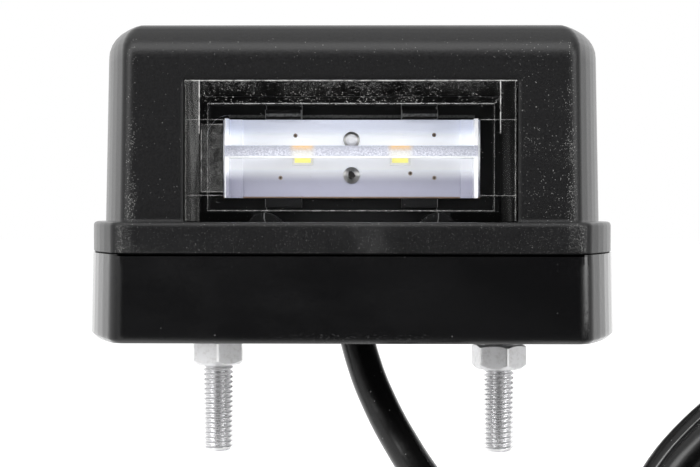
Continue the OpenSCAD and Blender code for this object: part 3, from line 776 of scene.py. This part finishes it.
# Cable tie: a strap close round the two turns that pass it, with a head and a cut end outside
def cable_tie():
    angle = math.radians(TIE_ANGLE)
    out = Vector((math.cos(angle), 0, math.sin(angle)))
    back = Vector((0, 1, 0))
    along = out.cross(back)
    centre = COIL_CENTRE + COIL_R * out
    first = COIL_PITCH * (TIE_ANGLE + 360 - COIL_START) / 360
    inner = CABLE_R + TIE_FIT
    outer = inner + TIE_T
    half = TIE_W / 2
    section = (
        (half, inner), (half, outer - TIE_CHAMFER), (half - TIE_CHAMFER, outer),
        (TIE_CHAMFER - half, outer), (-half, outer - TIE_CHAMFER), (-half, inner),
    )
    verts, faces = [], []
    steps = 16
    for offset, start in ((first + COIL_PITCH, 0), (first, 180)):
        for i in range(steps + 1):
            a = math.radians(start + 180 * i / steps)
            radial = math.cos(a) * out + math.sin(a) * back
            for w, r in section:
                verts.append(centre + offset * back + w * along + r * radial)
    n = len(section)
    rows = len(verts) // n
    for i in range(rows):
        j = (i + 1) % rows
        for k in range(n):
            m = (k + 1) % n
            faces.append((i * n + k, i * n + m, j * n + m, j * n + k))

    def on_strap(y, w, r):
        return centre + (first + COIL_PITCH / 2 + y) * back + w * along + r * out

    def past_head(y, w, r):
        return on_strap(y + TIE_END_OUT, w, r)

    top = outer + TIE_HEAD_TOP
    head = ((outer - 0.3, 0), (top - TIE_HEAD_EDGE, 0), (top, TIE_HEAD_EDGE))
    add_block(verts, faces, (TIE_HEAD / 2, TIE_HEAD / 2), head, on_strap)
    cut_end = ((outer + 0.5, 0), (outer + 0.5 + TIE_T, 0))
    add_block(verts, faces, (1.5, half - 0.1), cut_end, past_head)
    obj = mesh_object("strap_tie", verts, faces)
    obj.data.set_sharp_from_angle(angle=math.radians(30))
    return add_piece(obj, "tie_nylon", "cable_tie")


tie = cable_tie()
lead, lead_length = cable_curve()
add_piece(lead, "cable_jacket", "cable", "cable_coil", "cable_tail")


# Studs with a real thread
def thread_radius(z, angle):
    """The radius of the thread's flanks, crests and roots, and of the stud's chamfered tip."""
    phase = (z / PITCH - angle / (2 * math.pi)) % 1.0
    ridge = abs(phase - 0.5) * 2
    flat = min(max((ridge - 0.14) / 0.72, 0.0), 1.0)
    chamfer = STUD_R - 0.62 + (z + STUD_OUT) * 0.95
    return min(STUD_R - THREAD_DEPTH * flat, chamfer)


def threaded_stud(name, x, node):
    around = 40
    length = STUD_OUT + STUD_HEAD_Z[0]
    rows = int(length / PITCH * THREAD_ROWS)
    verts = [(x, 0, -STUD_OUT + 0.05)]
    faces = []
    for j in range(rows + 1):
        z = -STUD_OUT + length * j / rows
        for i in range(around):
            a = 2 * math.pi * i / around
            r = thread_radius(z, a) if z < -0.1 else BLANK_R
            verts.append((x + r * math.cos(a), r * math.sin(a), z))
    for i in range(around):
        faces.append((0, 1 + (i + 1) % around, 1 + i))
    for j in range(rows):
        for i in range(around):
            a = 1 + j * around + i
            b = 1 + j * around + (i + 1) % around
            faces.append((a, b, b + around, a + around))
    last = 1 + rows * around
    faces.append(tuple(last + i for i in range(around)))
    # Square head in its pocket inside the base
    head = list(zip(STUD_HEAD_Z, (0, 0, STUD_HEAD_CHAMFER)))
    add_block(verts, faces, (STUD_HEAD_HALF, STUD_HEAD_HALF), head, lambda u, v, z: (x + u, v, z))
    obj = mesh_object(name, verts, faces)
    obj.data.set_sharp_from_angle(angle=math.radians(50))
    return add_piece(obj, "zinc_steel", node)


# Hexagon nuts with domed chamfers and countersunk thread mouths
def hexagon_nut(name, x, gap, turn, node):
    around = 120
    flat = NUT_AF / 2
    corner = flat / math.cos(math.radians(30))
    face = flat - 0.3
    profile = (
        ("in", 0.1), ("mouth", 0.0), ("face", 0.0), ("side", 0.0),
        ("side", 1.0), ("face", 1.0), ("mouth", 1.0), ("in", 0.9),
    )
    radii = {"in": BLANK_R - 0.1, "mouth": STUD_R + 0.2, "face": face}
    verts, faces = [], []
    for i in range(around):
        a = 2 * math.pi * i / around
        from_flat = (a + math.pi / 3) % (math.pi / 3) - math.pi / 6
        outer = min(flat / math.cos(from_flat), corner - 0.07)
        drops = {0.0: (outer - face) * 0.9, 1.0: (face - outer) * 0.5}
        turned = a + math.radians(turn)
        for kind, level in profile:
            r = radii.get(kind, outer)
            z = -gap - NUT_H + level * NUT_H
            if kind == "side":
                z += drops[level]
            verts.append((x + r * math.cos(turned), r * math.sin(turned), z))
    n = len(profile)
    for i in range(around):
        k = (i + 1) % around
        for j in range(n):
            m = (j + 1) % n
            faces.append((i * n + j, i * n + m, k * n + m, k * n + j))
    obj = mesh_object(name, verts, faces)
    obj.data.set_sharp_from_angle(angle=math.radians(24))
    return add_piece(obj, "zinc_steel", node)


for side, (name, x) in enumerate((("left", STUD_X[0]), ("right", STUD_X[1]))):
    threaded_stud(f"threaded_stud_{name}", x, f"stud_{name}")
    hexagon_nut(f"hexagon_nut_{name}", x, NUT_GAPS[side], NUT_TURNS[side], f"nut_{name}")


# Lights
def softbox(name, place, target, size, power):
    data = bpy.data.lights.new(name, "AREA")
    data.shape = "RECTANGLE"
    data.size, data.size_y = size
    data.energy = power
    lamp = link(bpy.data.objects.new(name, data))
    lamp.location = place
    lamp.rotation_euler = (Vector(target) - Vector(place)).to_track_quat("-Z", "Y").to_euler()
    return lamp


softbox("light_top", (0.0, -0.05, 0.75), (0, 0, 0.02), (0.7, 0.4), 0.8)
softbox("light_front_top", (0.0, -0.52, 0.6), (0, 0, 0.03), (1.0, 0.4), 6.7)
softbox("light_left", (-0.62, -0.5, 0.3), (0, 0, 0.02), (0.4, 0.5), 3.6)
softbox("light_right", (0.66, -0.42, 0.22), (0, 0, 0.02), (0.4, 0.5), 3.2)


# White studio all round, with the dark of the room behind the camera in reflections
def studio_level(tree, direction):
    def ramp(axis, low, high, to_low, to_high):
        made = tree.nodes.new("ShaderNodeMapRange")
        made.interpolation_type = "SMOOTHSTEP"
        made.inputs["From Min"].default_value = low
        made.inputs["From Max"].default_value = high
        made.inputs["To Min"].default_value = to_low
        made.inputs["To Max"].default_value = to_high
        tree.links.new(split.outputs[axis], made.inputs["Value"])
        return made.outputs[0]

    split = tree.nodes.new("ShaderNodeSeparateXYZ")
    tree.links.new(direction, split.inputs[0])
    total = ramp("Y", -0.95, -0.7, 0.03, 0.5)
    for more in (
        ramp("Y", -0.9, 0.05, 0.0, 0.45),
        ramp("Y", 0.1, 0.8, 0.0, 0.4),
        ramp("Z", 0.13, 0.6, 0.0, 0.12),
        ramp("X", -0.4, -0.3, 0.2, 0.0),
        ramp("X", 0.3, 0.7, 0.0, -0.2),
        ramp("X", 0.42, 0.47, 0.0, 1.0),
        ramp("X", 0.55, 0.6, 0.0, -1.0),
        ramp("X", -0.47, -0.4, 0.7, 0.0),
        ramp("X", -0.6, -0.55, -0.7, 0.0),
        ramp("X", -0.73, -0.67, -0.2, 0.0),
        ramp("X", -0.9, -0.84, 0.2, 0.0),
    ):
        made = tree.nodes.new("ShaderNodeMath")
        made.operation = "ADD"
        tree.links.new(total, made.inputs[0])
        tree.links.new(more, made.inputs[1])
        total = made.outputs[0]
    made = tree.nodes.new("ShaderNodeMath")
    made.operation = "MINIMUM"
    made.inputs[1].default_value = 1.4
    tree.links.new(total, made.inputs[0])
    return made.outputs[0], ramp("Y", -0.95, 0.1, 0.3, 1.0)


def blend_levels(tree, factor, a, b):
    made = tree.nodes.new("ShaderNodeMix")
    tree.links.new(factor, made.inputs["Factor"])
    for value, socket in ((a, made.inputs["A"]), (b, made.inputs["B"])):
        if isinstance(value, float):
            socket.default_value = value
        else:
            tree.links.new(value, socket)
    return made.outputs["Result"]


world = bpy.data.worlds.new("studio")
scene.world = world
world.use_nodes = True
tree = world.node_tree
tree.nodes.clear()
where = tree.nodes.new("ShaderNodeTexCoord")
glossy, general = studio_level(tree, where.outputs["Generated"])
paths = tree.nodes.new("ShaderNodeLightPath")
level = blend_levels(tree, paths.outputs["Is Glossy Ray"], general, glossy)
level = blend_levels(tree, paths.outputs["Is Camera Ray"], level, 1.0)
background = tree.nodes.new("ShaderNodeBackground")
background.inputs["Color"].default_value = (1, 1, 1, 1)
tree.links.new(level, background.inputs["Strength"])
world_out = tree.nodes.new("ShaderNodeOutputWorld")
tree.links.new(background.outputs[0], world_out.inputs["Surface"])


def floor_material():
    """Pale paint that keeps shadows, and reflects as the studio does."""
    g = Graph("floor")
    paint = g.node("ShaderNodeBsdfDiffuse")
    g.join(g.mix(g.noise(40.0, 2.0), grey(0.8), grey(0.83)), paint.inputs["Color"])
    glow = g.node("ShaderNodeEmission")
    path = g.node("ShaderNodeLightPath")
    rays = g.math("MAXIMUM", path.outputs["Is Camera Ray"], path.outputs["Is Transmission Ray"])
    g.join(g.math("MULTIPLY", rays, 0.35), glow.inputs["Strength"])
    both = g.node("ShaderNodeAddShader")
    g.join(paint.outputs[0], both.inputs[0])
    g.join(glow.outputs[0], both.inputs[1])
    away = g.node("ShaderNodeVectorMath", operation="NORMALIZE")
    g.join(g.place, away.inputs[0])
    mirror = g.node("ShaderNodeEmission")
    g.join(studio_level(g.tree, away.outputs[0])[0], mirror.inputs["Strength"])
    final = g.node("ShaderNodeMixShader")
    g.join(path.outputs["Is Glossy Ray"], final.inputs[0])
    g.join(both.outputs[0], final.inputs[1])
    g.join(mirror.outputs[0], final.inputs[2])
    g.join(final.outputs[0], g.out.inputs["Surface"])
    return g.mat


floor.data.materials.append(floor_material())

scene.view_settings.view_transform = "Standard"
